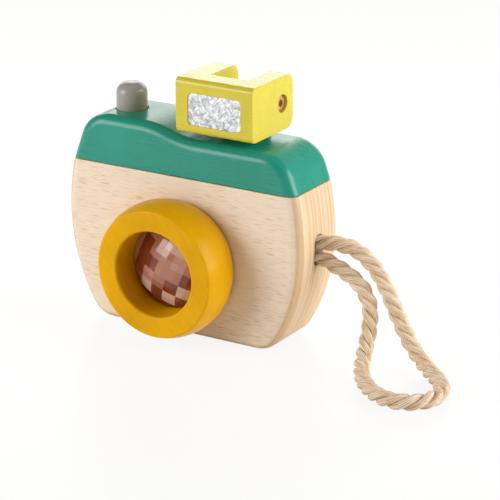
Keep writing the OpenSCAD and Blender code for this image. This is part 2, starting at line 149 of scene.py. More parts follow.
# %% Directions along the rope
LAY, STRANDS = 17.5, 3  # length of one turn of the strands
along = unit(np.gradient(centreline, axis=0))
side = np.zeros_like(along)
side[0] = (0, 1, 0)
# Each direction is the one before, made square to the rope again, so nothing twists.
for i in range(1, len(along)):
    side[i] = unit(side[i - 1] - along[i] * (side[i - 1] @ along[i]))
lift = np.cross(along, side)
out_of_hole = np.clip((centreline[:, 0] - rope_side) / ROPE_SWELL, 0, 1)
swell = ((ROPE_END_D + (ROPE_D - ROPE_END_D) * out_of_hole) / ROPE_D)[:, None]
print("rope:", round(run[-1] / LAY, 1), "turns of its strands")

# %% Rope strands
STRAND_R, STRAND_OUT = 1.52, 1.73  # a strand's radius, and its distance off the middle
YARNS, YARN_TURN, RIDGE = 13, 0.25, 0.1  # count, radians for each mm, share of the radius
AROUND = 52
around = np.linspace(0, 2 * math.pi, AROUND, endpoint=False)
row, column = np.meshgrid(np.arange(len(run) - 1), np.arange(AROUND), indexing="ij")
vertices, faces, uvs = [], [], []
for strand in range(STRANDS):
    turn = (strand / STRANDS * 2 * math.pi - 2 * math.pi * run / LAY)[:, None]
    outwards = np.cos(turn) * side + np.sin(turn) * lift
    middle = centreline + outwards * STRAND_OUT * swell
    ahead = unit(np.gradient(middle, axis=0))
    outwards = unit(outwards - ahead * np.sum(outwards * ahead, axis=1, keepdims=True))
    sideways = np.cross(ahead, outwards)
    yarn = around[None, :] - YARN_TURN * run[:, None]
    radius = STRAND_R * swell * (1 + RIDGE * (np.abs(np.cos(yarn * YARNS / 2)) - 1))
    ring = (np.cos(around)[None, :, None] * outwards[:, None, :]
            + np.sin(around)[None, :, None] * sideways[:, None, :])
    first = strand * len(run) * AROUND
    vertices.append((middle[:, None, :] + radius[:, :, None] * ring).reshape(-1, 3))
    a = first + row * AROUND + column
    b = first + row * AROUND + (column + 1) % AROUND
    faces += np.stack([a, b, b + AROUND, a + AROUND], axis=-1).reshape(-1, 4).tolist()
    u = np.stack([yarn[:-1], yarn[:-1], yarn[1:], yarn[1:]], axis=-1) / (2 * math.pi)
    u += np.array([0, 1, 1, 0]) / AROUND
    v = np.stack([run[:-1], run[:-1], run[1:], run[1:]], axis=-1)[:, None, :] * MM
    uvs.append(np.stack([u, np.broadcast_to(v, u.shape)], axis=-1).reshape(-1, 2))
    last = first + (len(run) - 1) * AROUND
    faces += [list(range(first, first + AROUND))[::-1], list(range(last, last + AROUND))]
    uvs.append(np.zeros((2 * AROUND, 2)))
print("rope:", len(faces), "faces in", STRANDS, "strands")

# %% Rope piece
rope_mesh = bpy.data.meshes.new("rope_laid")
rope_mesh.from_pydata((np.vstack(vertices) * MM).tolist(), [], faces)
yarn_map = rope_mesh.uv_layers.new(name="yarns")
yarn_map.data.foreach_set("uv", np.vstack(uvs).astype(np.float32).ravel())
rope_mesh.shade_smooth()
rope = bpy.data.objects.new("rope_laid", rope_mesh)
bpy.context.scene.collection.objects.link(rope)
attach(rope, "camera")
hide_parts("wrist_rope")

# %% [markdown]
# ## Drawing and cutting
# Most pieces start the way a joiner starts: an outline is drawn on the wood, sawn out, rounded
# over and drilled. In Blender an outline is one vertex that is extruded along the straight parts
# and spun round the arcs. Operators act on all that is selected, so each helper first clears the
# selection and then selects by place.

# %% Helpers for selecting
TINY, JOIN = 0.001 * MM, 0.01 * MM


def clear_selection():
    if bpy.context.mode != "OBJECT":
        bpy.ops.object.mode_set(mode="OBJECT")
    bpy.ops.object.select_all(action="DESELECT")


def take(piece, mode="OBJECT"):
    """Make one piece the only one that operators act on."""
    clear_selection()
    bpy.context.view_layer.objects.active = piece
    piece.select_set(True)
    bpy.ops.object.mode_set(mode=mode)


def pick(kind, test):
    """In edit mode, select the verts, edges or faces that pass a test."""
    bpy.context.tool_settings.mesh_select_mode = [kind == k for k in ("verts", "edges", "faces")]
    bpy.ops.mesh.select_all(action="DESELECT")
    mesh = bmesh.from_edit_mesh(bpy.context.edit_object.data)
    for part in getattr(mesh, kind):
        if test(part):
            part.select_set(True)
    bmesh.update_edit_mesh(bpy.context.edit_object.data)


# %% Helpers for drawing
def fix_place(piece):
    """Put the piece's place, turn and size into its mesh, so that its object sits at the origin."""
    take(piece)
    bpy.ops.object.transform_apply(location=True, rotation=True, scale=True)


def draw_outline(name, start, strokes):
    """Draw edges by strokes: a point to go to, or an arc (centre, axis, degrees, steps)."""
    clear_selection()
    bpy.ops.mesh.primitive_plane_add(size=MM, location=Vector(start) * MM)
    piece = bpy.context.object
    piece.name = piece.data.name = name
    bpy.ops.object.mode_set(mode="EDIT")
    bpy.context.tool_settings.mesh_select_mode = (True, False, False)
    bpy.ops.mesh.select_all(action="SELECT")
    bpy.ops.mesh.merge(type="CENTER")
    for stroke in strokes:
        mesh = bmesh.from_edit_mesh(piece.data)
        at = next(v.co for v in mesh.verts if v.select) + piece.location
        if len(stroke) == 3:
            bpy.ops.mesh.extrude_region_move(
                TRANSFORM_OT_translate={"value": Vector(stroke) * MM - at})
        else:
            centre, axis, degrees, steps = stroke
            # Spin turns against the right-hand rule, so the axis is given reversed.
            bpy.ops.mesh.spin(steps=steps, angle=math.radians(degrees),
                              center=Vector(centre) * MM, axis=-Vector(axis))
    fix_place(piece)
    return piece


# %% Helpers for cutting
def rod(radius, start, end, sides=96):
    """A round bar between two points."""
    start, end = Vector(start) * MM, Vector(end) * MM
    clear_selection()
    bpy.ops.mesh.primitive_cylinder_add(
        vertices=sides, radius=radius * MM, depth=(end - start).length, location=(start + end) / 2,
        rotation=(end - start).to_track_quat("Z", "Y").to_euler())
    fix_place(bpy.context.object)
    return bpy.context.object


def block(low, high):
    """A box between two corners."""
    low, high = Vector(low) * MM, Vector(high) * MM
    clear_selection()
    bpy.ops.mesh.primitive_cube_add(size=1, location=(low + high) / 2, scale=high - low)
    fix_place(bpy.context.object)
    return bpy.context.object


def apply(piece, kind, **settings):
    """Add a modifier with its settings and apply it at once."""
    take(piece)
    bpy.ops.object.modifier_add(type=kind)
    modifier = piece.modifiers[-1]
    for name, value in settings.items():
        setattr(modifier, name, value)
    bpy.ops.object.modifier_apply(modifier=modifier.name)


def cut(piece, cutter, operation="DIFFERENCE"):
    """Cut one shape with another, and throw the cutter away."""
    apply(piece, "BOOLEAN", object=cutter, operation=operation, solver="EXACT")
    bpy.data.objects.remove(cutter, do_unlink=True)


# %% Helpers for edges and fitting
def round_over(radius, segments):
    """In edit mode, round the selected edges."""
    bpy.ops.mesh.bevel(offset=radius * MM, segments=segments, affect="EDGES", clamp_overlap=False)


def ease_edges(piece, width, segments=2, sharper_than=50):
    """Take the sharpness off every edge that is still sharp, once its shortest bits are merged."""
    take(piece, "EDIT")
    bpy.context.tool_settings.mesh_select_mode = (False, True, False)
    bpy.ops.mesh.select_all(action="DESELECT")
    bpy.ops.mesh.edges_select_sharp(sharpness=math.radians(sharper_than))
    bpy.ops.mesh.remove_doubles(threshold=width * MM)
    round_over(width, segments)
    bpy.ops.object.mode_set(mode="OBJECT")


def shade(piece, angle=35):
    """Shade curves smoothly and let large flat faces lead the shading of their rounded edges."""
    take(piece)
    bpy.ops.object.shade_smooth_by_angle(angle=math.radians(angle))
    apply(piece, "WEIGHTED_NORMAL", keep_sharp=True, weight=100)


def dress(piece, body, node):
    """Let a piece ride on its body in the place of its CAD node."""
    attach(piece, body)
    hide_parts(node)
    print(piece.name, "stands for", node, "with", len(piece.data.polygons), "faces")


# %% [markdown]
# ## Boards
# The body and the cover are sawn from one thick board. Their front and back edges are rounded over
# with the two pieces together, so the rounding runs straight across the seam. Here each outline
# goes a little past the seam, is rounded all the way round, and is then cut off at the seam. The
# edges along the seam are eased only by sandpaper, and a thin glue line leaves a dark joint.

# %% Sizes of the boards
HALF_T, EDGE_R = 15.75, 4.25  # half the board, and its rounding
SEAM_Z, SEAM_EASE, GLUE_LINE = 66, 0.4, 0.25
SIDE_HIGH, FOOT_R = 96, 11  # radius of the upper side and of the foot's corner
PAST, SHORT = 8, 1.2  # how far cutters overshoot, and an arc stops before the seam
FRONT = -HALF_T
OUT_OF_PLANE = (0, -1, 0)
foot_turn = math.asin((BELLY_Z - FOOT_R) / (SIDE_LOW - FOOT_R))
foot_x = BODY_HALF - SIDE_LOW + (SIDE_LOW - FOOT_R) * math.cos(foot_turn)
side_turn = math.asin((SEAM_Z - BELLY_Z) / SIDE_HIGH)
seam_half = BODY_HALF - SIDE_HIGH * (1 - math.cos(side_turn))
print("seam is", round(2 * seam_half, 1), "mm long")


# %% Helpers for the boards
def fill_outline(piece, way):
    """Fill an outline and extrude it along a way in millimetres."""
    take(piece, "EDIT")
    bpy.ops.mesh.select_all(action="SELECT")
    bpy.ops.mesh.remove_doubles(threshold=JOIN)
    bpy.ops.mesh.edge_face_add()
    bpy.ops.mesh.extrude_region_move(TRANSFORM_OT_translate={"value": Vector(way) * MM})
    bpy.ops.mesh.select_all(action="SELECT")
    bpy.ops.mesh.normals_make_consistent(inside=False)


def saw_out(piece):
    """Give an outline the board's thickness and round its front and back edges over."""
    fill_outline(piece, (0, 2 * HALF_T, 0))
    pick("edges", lambda e: e.verts[0].co.y * e.verts[1].co.y > 0)
    round_over(EDGE_R, segments=8)
    bpy.ops.object.mode_set(mode="OBJECT")


def cut_at_seam(piece, z, keep_above):
    """Cut a board off at the seam and ease the new edges."""
    take(piece, "EDIT")
    bpy.ops.mesh.select_all(action="SELECT")
    bpy.ops.mesh.bisect(plane_co=(0, 0, z * MM), plane_no=(0, 0, 1), use_fill=True,
                        clear_inner=keep_above, clear_outer=not keep_above, threshold=TINY)
    bpy.ops.object.mode_set(mode="OBJECT")
    ease_edges(piece, SEAM_EASE, segments=3)


# %% Body
past_seam = (seam_half - PAST * math.tan(side_turn), FRONT, SEAM_Z + PAST)
# The side's arc stops short of the seam, so that no row of points lies where the edge is eased.
arc_turn = math.degrees(side_turn - SHORT / SIDE_HIGH)
body = draw_outline("body_beech", (0, FRONT, 0), [
    (foot_x, FRONT, 0),
    ((foot_x, FRONT, FOOT_R), OUT_OF_PLANE, 90 - math.degrees(foot_turn), 12),
    ((BODY_HALF - SIDE_LOW, FRONT, BELLY_Z), OUT_OF_PLANE, math.degrees(foot_turn), 26),
    ((BODY_HALF - SIDE_HIGH, FRONT, BELLY_Z), OUT_OF_PLANE, arc_turn, 14),
    past_seam,
    (0, FRONT, past_seam[2])])
apply(body, "MIRROR", merge_threshold=JOIN)
saw_out(body)
cut_at_seam(body, SEAM_Z, keep_above=False)
print("body:", len(body.data.vertices), "points after sawing")

# %% Cover
COVER_LOW, HUMP_RISE = 15.5, 4.6  # height at the flash end, and how much the hump adds
STEP_X, STEP_LEN = -6, 28  # middle and length of the slope
CROWN_R, END_LEAN = 14, 20
end_lean = math.radians(END_LEAN)
low_z, high_z = SEAM_Z + COVER_LOW, SEAM_Z + COVER_LOW + HUMP_RISE
step_r = (STEP_LEN ** 2 + HUMP_RISE ** 2) / (4 * HUMP_RISE)
step_turn = math.degrees(math.asin(STEP_LEN / 2 / step_r))
crown_turn = 90 - END_LEAN
under_seam = seam_half + PAST * math.tan(end_lean)


def crown_x(top_z):
    """Distance of a crown corner's middle from the middle of the camera."""
    rise = top_z - CROWN_R - SEAM_Z
    return seam_half - (CROWN_R + math.sin(end_lean) * rise) / math.cos(end_lean)


right_x, left_x = crown_x(low_z), -crown_x(high_z)
crown_low_x = right_x + CROWN_R * math.cos(end_lean)
crown_low_z = low_z - CROWN_R + CROWN_R * math.sin(end_lean)
cover = draw_outline("cover_green", (under_seam, FRONT, SEAM_Z - PAST), [
    (crown_low_x, FRONT, crown_low_z),
    ((right_x, FRONT, low_z - CROWN_R), OUT_OF_PLANE, crown_turn, 14),
    (STEP_X + STEP_LEN / 2, FRONT, low_z),
    ((STEP_X + STEP_LEN / 2, FRONT, low_z + step_r), OUT_OF_PLANE, -step_turn, 14),
    ((STEP_X - STEP_LEN / 2, FRONT, high_z - step_r), OUT_OF_PLANE, step_turn, 14),
    (left_x, FRONT, high_z),
    ((left_x, FRONT, high_z - CROWN_R), OUT_OF_PLANE, crown_turn, 14),
    (-under_seam, FRONT, SEAM_Z - PAST)])
saw_out(cover)
cut_at_seam(cover, SEAM_Z + GLUE_LINE, keep_above=True)
print("cover:", len(cover.data.vertices), "points, hump at", round(high_z, 1), "mm")

# %% [markdown]
# ## Holes
# The body is bored for the lens and for looking through, and has an oblong hole for both ends of
# the rope. What holds the toy together is out of sight: two dowels across the seam, a pin that
# keeps the lens in, a pocket for the button's spring and a mortise for the hinge block. They are
# drilled here as in the solids, because the meshes may be printed or opened up later.

# %% Sizes of the holes
LENS_Z, EYE_R, RING_GAP = 31.5, 14.5, 0.5
TENON_R, TENON_LEN = 20.5, 11.5  # the ring's tenon, which turns in the body
PIN_R, GROOVE_WALL = 1.6, 1.5
BUTTON_IN, SPRING_R, WIRE, SPRING_POCKET = 19.5, 4.2, 0.9, 8
DOWEL_R, DOWEL_HALF = 4, 9
DOWEL_ASIDE, DOWEL_IN = 17.4, 11  # from the button, and from the right end
BODY_EASE, PAINT_EASE = 0.3, 0.25
ring_back = FRONT - RING_GAP
tenon_end = ring_back + TENON_LEN
recess_floor = tenon_end + RING_GAP
groove_half = PIN_R + RUN_GAP
groove_y = tenon_end - GROOVE_WALL - groove_half
button_x = BUTTON_IN - seam_half
spring_floor = SEAM_Z - SPRING_POCKET
dowels, dowel_reach = (button_x + DOWEL_ASIDE, seam_half - DOWEL_IN), DOWEL_HALF + GLUE_GAP
print("dowels at", [round(x, 1) for x in dowels], "mm")

# %% Holes in the body
cut(body, rod(TENON_R + RUN_GAP, (0, FRONT - PAST, LENS_Z), (0, recess_floor, LENS_Z)))
cut(body, rod(EYE_R, (0, recess_floor - PAST, LENS_Z), (0, HALF_T + PAST, LENS_Z)))
hole_r = ROPE_END_D / 2 + RUN_GAP
hole_low, hole_high = ROPE_Z - end_shift, ROPE_Z + end_shift
rope_hole = draw_outline("rope_hole", (rope_floor, -hole_r, hole_low), [
    (rope_floor, -hole_r, hole_high),
    ((rope_floor, 0, hole_high), (-1, 0, 0), 180, 24),
    (rope_floor, hole_r, hole_low),
    ((rope_floor, 0, hole_low), (-1, 0, 0), 180, 24)])
fill_outline(rope_hole, (BODY_HALF + PAST - rope_floor, 0, 0))
cut(body, rope_hole)
over = SEAM_Z + PAST
cut(body, rod(PIN_R + GLUE_GAP, (0, groove_y, LENS_Z), (0, groove_y, over), sides=32))
cut(body, rod(SPRING_R + WIRE, (button_x, 0, spring_floor), (button_x, 0, over), sides=48))
for x in dowels:
    cut(body, rod(DOWEL_R + GLUE_GAP, (x, 0, SEAM_Z - dowel_reach), (x, 0, over), sides=48))
ease_edges(body, BODY_EASE)
shade(body)
dress(body, "camera", "beech_body")

# %% Holes in the cover
BUTTON_R, BUTTON_GAP, BUTTON_TRAVEL = 6.3, 0.45, 4.5
COLLAR_R, COLLAR_T = 8.6, 3.5
FLASH_X, SLOT_SHIFT, PIVOT_BACK = 16, 1, 22.7
TENON = (11, 7, 9)  # the hinge block's tenon, which is glued into the cover
collar_bottom = SEAM_Z + BUTTON_TRAVEL + RUN_GAP
collar_top = collar_bottom + COLLAR_T
slot_x, pivot_y = FLASH_X + SLOT_SHIFT, FRONT + PIVOT_BACK
under = SEAM_Z - PAST
for x in dowels:
    cut(cover, rod(DOWEL_R + GLUE_GAP, (x, 0, under), (x, 0, SEAM_Z + dowel_reach), sides=48))
cut(cover, rod(BUTTON_R + BUTTON_GAP, (button_x, 0, under), (button_x, 0, high_z + PAST)))
cut(cover, rod(COLLAR_R + BUTTON_GAP, (button_x, 0, under), (button_x, 0, collar_top + RUN_GAP)))
tenon_low = Vector((slot_x - TENON[0] / 2, pivot_y - TENON[1] / 2, low_z - TENON[2]))
tenon_high = Vector((slot_x + TENON[0] / 2, pivot_y + TENON[1] / 2, low_z + PAST))
glue = Vector((GLUE_GAP, GLUE_GAP, GLUE_GAP))
cut(cover, block(tenon_low - glue, tenon_high + glue))
ease_edges(cover, PAINT_EASE)
shade(cover)
dress(cover, "camera", "top_cover")

# %% [markdown]
# ## Turned pieces
# The lens ring and the button come from a lathe. On a lathe the tool follows a profile while the
# wood turns, and Spin does the same: the profile is drawn once as edges, then swept a full turn
# round the axis.


# %% Lens ring
def turn_on_lathe(piece, centre, axis, steps):
    """Sweep a profile a full turn round an axis and close it."""
    take(piece, "EDIT")
    bpy.ops.mesh.select_all(action="SELECT")
    bpy.ops.mesh.spin(steps=steps, angle=2 * math.pi, center=Vector(centre) * MM, axis=axis)
    bpy.ops.mesh.select_all(action="SELECT")
    bpy.ops.mesh.remove_doubles(threshold=TINY)
    bpy.ops.mesh.normals_make_consistent(inside=False)
    bpy.ops.object.mode_set(mode="OBJECT")
    shade(piece)


RING_R, RING_DEPTH, LIP_R = 27.85, 19.5, 1
FLANK_R, FLANK_FRONT = 22, 9.2  # the barrel's radius, and its widest place from the front
BORE_R, LIGHT_R, GROOVE_DEEP = 17.5, 15.5, 2.6
STONE_DEEP, GIRDLE = 12.5, 2  # the stone's depth, and its rim
ABOUT_UP = (0, 0, 1)
ring_front = ring_back - RING_DEPTH
stone_back = ring_front + STONE_DEEP + GIRDLE
ledge_y, groove_r = stone_back + GLUE_GAP, TENON_R - GROOVE_DEEP
flank_x, flank_y = RING_R - FLANK_R, ring_front + FLANK_FRONT
lip_x = flank_x + math.sqrt((FLANK_R - LIP_R) ** 2 - (FLANK_FRONT - LIP_R) ** 2)
lip_turn = math.degrees(math.atan2(FLANK_FRONT - LIP_R, lip_x - flank_x))
back_turn = math.degrees(math.asin((ring_back - flank_y) / FLANK_R))
ring = draw_outline("ring_mustard", (BORE_R, ledge_y, LENS_Z), [
    (BORE_R, ring_front + LIP_R, LENS_Z),
    ((BORE_R + LIP_R, ring_front + LIP_R, LENS_Z), ABOUT_UP, 90, 6),
    (lip_x, ring_front, LENS_Z),
    ((lip_x, ring_front + LIP_R, LENS_Z), ABOUT_UP, 90 - lip_turn, 6),
    ((flank_x, flank_y, LENS_Z), ABOUT_UP, lip_turn + back_turn, 20),
    (TENON_R, ring_back, LENS_Z),
    (TENON_R, groove_y - groove_half, LENS_Z),
    (groove_r, groove_y - groove_half, LENS_Z),
    (groove_r, groove_y + groove_half, LENS_Z),
    (TENON_R, groove_y + groove_half, LENS_Z),
    (TENON_R, tenon_end, LENS_Z),
    (LIGHT_R, tenon_end, LENS_Z),
    (LIGHT_R, ledge_y, LENS_Z),
    (BORE_R, ledge_y, LENS_Z)])
turn_on_lathe(ring, (0, 0, LENS_Z), (0, 1, 0), steps=144)
dress(ring, "lens", "lens_ring")

# %% Shutter button
BUTTON_RISE, BUTTON_ROUND = 10.7, 4.6
button_top = high_z + BUTTON_RISE
shoulder_x, shoulder_z = button_x + BUTTON_R - BUTTON_ROUND, button_top - BUTTON_ROUND
button = draw_outline("button_grey", (button_x, 0, collar_bottom), [
    (button_x + COLLAR_R, 0, collar_bottom),
    (button_x + COLLAR_R, 0, collar_top),
    (button_x + BUTTON_R, 0, collar_top),
    (button_x + BUTTON_R, 0, shoulder_z),
    ((shoulder_x, 0, shoulder_z), OUT_OF_PLANE, 90, 12),
    (button_x, 0, button_top)])
turn_on_lathe(button, (button_x, 0, 0), ABOUT_UP, steps=72)
dress(button, "button", "shutter_button")

# %% [markdown]
# ## Cut stone
# The lens is a domed acrylic stone cut into flat squares, like a checkerboard. A grid whose points
# drop with the square of their distance from the middle keeps every one of its squares flat, so
# the grid is bent into that bowl, thickened, and trimmed to a disc. Real facets meet in polished
# edges that catch the light as thin lines, so these edges get a very small bevel.

# %% Cut stone
FACET, FACET_TURN, FACET_EASE = 5.6, 23, 0.1
STONE_RISE, STONE_BLANK = 6.5, 32  # height of the dome, and depth before it is trimmed
cells = 2 * math.ceil(BORE_R / FACET)
clear_selection()
bpy.ops.mesh.primitive_grid_add(
    x_subdivisions=cells, y_subdivisions=cells, size=cells * FACET * MM)
stone = bpy.context.object
stone.name = stone.data.name = "stone_rose"
for vertex in stone.data.vertices:
    off_axis = vertex.co.to_2d().length / MM
    vertex.co.z = (GIRDLE + STONE_RISE * (1 - (off_axis / BORE_R) ** 2)) * MM
stone.rotation_euler = (math.pi / 2, math.radians(FACET_TURN), 0)
stone.location = Vector((0, stone_back, LENS_Z)) * MM
fix_place(stone)
take(stone, "EDIT")
bpy.ops.mesh.select_all(action="SELECT")
bpy.ops.mesh.extrude_region_move(TRANSFORM_OT_translate={"value": (0, STONE_BLANK * MM, 0)})
bpy.ops.mesh.select_all(action="SELECT")
bpy.ops.mesh.normals_make_consistent(inside=False)
stone_r = BORE_R - GLUE_GAP
cut(stone, rod(stone_r, (0, ring_front, LENS_Z), (0, stone_back, LENS_Z)), "INTERSECT")
take(stone, "EDIT")
bpy.ops.mesh.select_all(action="SELECT")
bpy.ops.mesh.dissolve_limited(angle_limit=math.radians(1))
ease_edges(stone, FACET_EASE, segments=1, sharper_than=6)
dress(stone, "lens", "kaleidoscope_lens")

# %% [markdown]
# ## Spring
# Under the button a wound spring sits in its pocket. One circle of wire and the Screw modifier
# wind it as a coiling machine does. It has to shorten when the button is pressed. Here it rides
# on the body and gets a mesh of its own.

# %% Spring
TURNS, TURN_STEPS = 5, 40
spring_low, spring_high = spring_floor + RUN_GAP, collar_bottom - RUN_GAP
clear_selection()
bpy.ops.mesh.primitive_circle_add(
    vertices=14, radius=WIRE / 2 * MM, fill_type="NOTHING", rotation=(math.pi / 2, 0, 0),
    location=(SPRING_R * MM, 0, 0))
spring = bpy.context.object
spring.name = spring.data.name = "spring_wound"
fix_place(spring)
apply(spring, "SCREW", axis="Z", angle=2 * math.pi * TURNS, steps=TURN_STEPS * TURNS,
      render_steps=TURN_STEPS * TURNS, screw_offset=(spring_high - spring_low - WIRE) * MM,
      iterations=1, use_smooth_shade=True)
take(spring, "EDIT")
pick("edges", lambda e: e.is_boundary)
bpy.ops.mesh.edge_face_add()
bpy.ops.mesh.select_all(action="SELECT")
bpy.ops.mesh.normals_make_consistent(inside=False)
bpy.ops.object.mode_set(mode="OBJECT")
spring.location = Vector((button_x, 0, spring_low + WIRE / 2)) * MM
fix_place(spring)
shade(spring, angle=60)
dress(spring, "camera", "button_spring")
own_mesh(spring)

# %% [markdown]
# ## Flash
# The flash is a small block with a slot from behind, so that it straddles the hinge block and
# turns on two screws. The long edges are rounded before the slot is cut, as a maker would do with
# a router while the block is still whole.

# %% Flash
FLASH_W, FLASH_H, FLASH_D, FLASH_GAP = 35, 22, 30.7, 3.2  # the gap is over the cover
FLASH_FRONT_R, FLASH_REAR_R = 2.2, 4.5
SLOT_W, SLOT_FRONT = 17, 10.5
LONG = 10
flash_left, flash_right = FLASH_X - FLASH_W / 2, FLASH_X + FLASH_W / 2
flash_low, flash_back = low_z + FLASH_GAP, FRONT + FLASH_D
flash_high, pivot_z = flash_low + FLASH_H, flash_low + FLASH_H / 2
slot_left, slot_right = slot_x - SLOT_W / 2, slot_x + SLOT_W / 2
flash = block((flash_left, FRONT, flash_low), (flash_right, flash_back, flash_high))
flash.name = flash.data.name = "flash_lemon"


def pick_along_x(test):
    """In edit mode, select the long edges along X whose two ends pass a test."""
    pick("edges", lambda e: abs(e.verts[0].co.x - e.verts[1].co.x) > LONG * MM
         and all(test(v.co) for v in e.verts))


take(flash, "EDIT")
pick_along_x(lambda co: abs(co.y - FRONT * MM) < TINY)
round_over(FLASH_FRONT_R, segments=6)
pick_along_x(lambda co: abs(co.y - flash_back * MM) < TINY)
round_over(FLASH_REAR_R, segments=10)
cut(flash, block((slot_left, FRONT + SLOT_FRONT, flash_low - PAST),
                 (slot_right, flash_back + PAST, flash_high + PAST)))
print("flash:", len(flash.data.polygons), "faces after its slot")

# %% Bores and pocket of the flash
SCREW_R, PIVOT_GAP = 2, 0.08
HEAD_R, HEAD_WALL = 3.3, 4.4  # the screw's head, and the wall that it bears on
FOIL_W, FOIL_H, FOIL_R, FOIL_DROP, POCKET = 23.7, 12.8, 2, 0.9, 0.8
foil_z = pivot_z - FOIL_DROP
for start, end, r in ((flash_left - PAST, flash_right + PAST, SCREW_R + PIVOT_GAP),
                      (flash_left - PAST, slot_left - HEAD_WALL, HEAD_R + RUN_GAP),
                      (slot_right + HEAD_WALL, flash_right + PAST, HEAD_R + RUN_GAP)):
    cut(flash, rod(r, (start, pivot_y, pivot_z), (end, pivot_y, pivot_z), sides=48))
half_w, half_h = FOIL_W / 2 + GLUE_GAP, FOIL_H / 2 + GLUE_GAP
pocket = block((FLASH_X - half_w, FRONT - PAST, foil_z - half_h),
               (FLASH_X + half_w, FRONT + POCKET, foil_z + half_h))
take(pocket, "EDIT")
pick("edges", lambda e: abs(e.verts[0].co.y - e.verts[1].co.y) > TINY)
round_over(FOIL_R + GLUE_GAP, segments=8)
bpy.ops.object.mode_set(mode="OBJECT")
cut(flash, pocket)
ease_edges(flash, PAINT_EASE)
shade(flash)
dress(flash, "flash", "flash_housing")

# %% [markdown]
# ## Reflector foil
# The flash window is a piece of crumpled silver foil. Crumpling leaves small flat facets between
# sharp creases, which a Voronoi texture gives: the Displace modifier pushes a fine grid by it. The
# grid's four corners are first pulled in to the round corners of the pocket.

# %% Reflector foil
FOIL_T, CREASE, CRUMPLE, FOIL_LIFT = 0.25, 2.6, 0.3, 0.18
FOIL_COLUMNS, FOIL_ROWS = 130, 72
clear_selection()
bpy.ops.mesh.primitive_grid_add(x_subdivisions=FOIL_COLUMNS, y_subdivisions=FOIL_ROWS, size=1)
foil = bpy.context.object
foil.name = foil.data.name = "foil_silver"
foil.scale = (FOIL_W * MM, FOIL_H * MM, 1)
fix_place(foil)
for vertex in foil.data.vertices:
    over_x = abs(vertex.co.x) - (FOIL_W / 2 - FOIL_R) * MM
    over_y = abs(vertex.co.y) - (FOIL_H / 2 - FOIL_R) * MM
    if over_x > 0 and over_y > 0:
        pull = 1 - max(over_x, over_y) / math.hypot(over_x, over_y)
        vertex.co.x -= math.copysign(over_x * pull, vertex.co.x)
        vertex.co.y -= math.copysign(over_y * pull, vertex.co.y)
foil.rotation_euler = (math.pi / 2, 0, 0)
foil.location = Vector((FLASH_X, FRONT + POCKET - FOIL_T - FOIL_LIFT, foil_z)) * MM
fix_place(foil)
crumple = bpy.data.textures.new("crumple", "VORONOI")
crumple.noise_scale = CREASE * MM
crumple.distance_metric = "DISTANCE"
apply(foil, "DISPLACE", texture=crumple, texture_coords="LOCAL", direction="Y",
      strength=CRUMPLE * MM, mid_level=0.5)
apply(foil, "SOLIDIFY", thickness=FOIL_T * MM, offset=-1)
dress(foil, "flash", "reflector_foil")

# %% [markdown]
# ## Hinge
# A small block with a round top stands in the cover, and two bronzed screws go into it from the
# sides. The round top is one wide bevel on two edges. A screw head is a short cylinder with a
# rounded rim and a hex socket: it is modelled once on the right and copied to the left arm.

# %% Hinge block
KNUCKLE_R, ARM_GAP = 6, 0.7
THREAD_LEN, THREAD_GAP, OVERLAP = 6.5, 0.03, 1
KNUCKLE_BEVEL = 0.999 * KNUCKLE_R  # a full radius would make the two bevels meet in one edge
block_left, block_right = slot_left + ARM_GAP, slot_right - ARM_GAP
hinge = block((block_left, pivot_y - KNUCKLE_R, low_z),
              (block_right, pivot_y + KNUCKLE_R, pivot_z + KNUCKLE_R))
hinge.name = hinge.data.name = "hinge_green"
take(hinge, "EDIT")
pick_along_x(lambda co: co.z > pivot_z * MM)
round_over(KNUCKLE_BEVEL, segments=14)
cut(hinge, block(tenon_low, (tenon_high.x, tenon_high.y, low_z + OVERLAP)), "UNION")
for side_x, inwards in ((block_left, 1), (block_right, -1)):
    mouth = (side_x - inwards * OVERLAP, pivot_y, pivot_z)
    bottom = (side_x + inwards * (THREAD_LEN + GLUE_GAP), pivot_y, pivot_z)
    cut(hinge, rod(SCREW_R + THREAD_GAP, mouth, bottom, sides=48))
ease_edges(hinge, PAINT_EASE)
shade(hinge)
dress(hinge, "camera", "hinge_block")

# %% Hinge screws
HEAD_H, HEAD_ROUND, SOCKET_R = 2.4, 0.8, 1.6
head_seat = slot_right + HEAD_WALL + RUN_GAP
head_top = head_seat + HEAD_H
reach = RUN_GAP + HEAD_WALL + ARM_GAP + THREAD_LEN
screw = rod(HEAD_R, (head_seat, pivot_y, pivot_z), (head_top, pivot_y, pivot_z), sides=48)
screw.name = screw.data.name = "screw_right"
take(screw, "EDIT")
pick("faces", lambda f: f.normal.x < -0.9)
bpy.ops.mesh.inset(thickness=(HEAD_R - SCREW_R) * MM)
bpy.ops.mesh.extrude_region_move(TRANSFORM_OT_translate={"value": (-reach * MM, 0, 0)})
pick("edges", lambda e: all(v.co.x > head_top * MM - TINY for v in e.verts))
round_over(HEAD_ROUND, segments=4)
cut(screw, rod(SOCKET_R, (head_top - HEAD_H / 2, pivot_y, pivot_z),
               (head_top + OVERLAP, pivot_y, pivot_z), sides=6))
shade(screw)
take(screw)
bpy.ops.object.duplicate()
screw_left = bpy.context.object
screw_left.name = screw_left.data.name = "screw_left"
bpy.ops.transform.rotate(value=math.pi, orient_axis="Z",
                         center_override=Vector((slot_x, pivot_y, pivot_z)) * MM)
fix_place(screw_left)
dress(screw, "camera", "hinge_screw_right")
dress(screw_left, "camera", "hinge_screw_left")

# %% [markdown]
# ## Finishes
# Every finish is a Principled shader with patterns on Object coordinates, which are metres here.
# A pattern that is one unit wide becomes 3 mm wide when its coordinates are multiplied by
# 1 / 0.003, so each scale below is written as the real size.


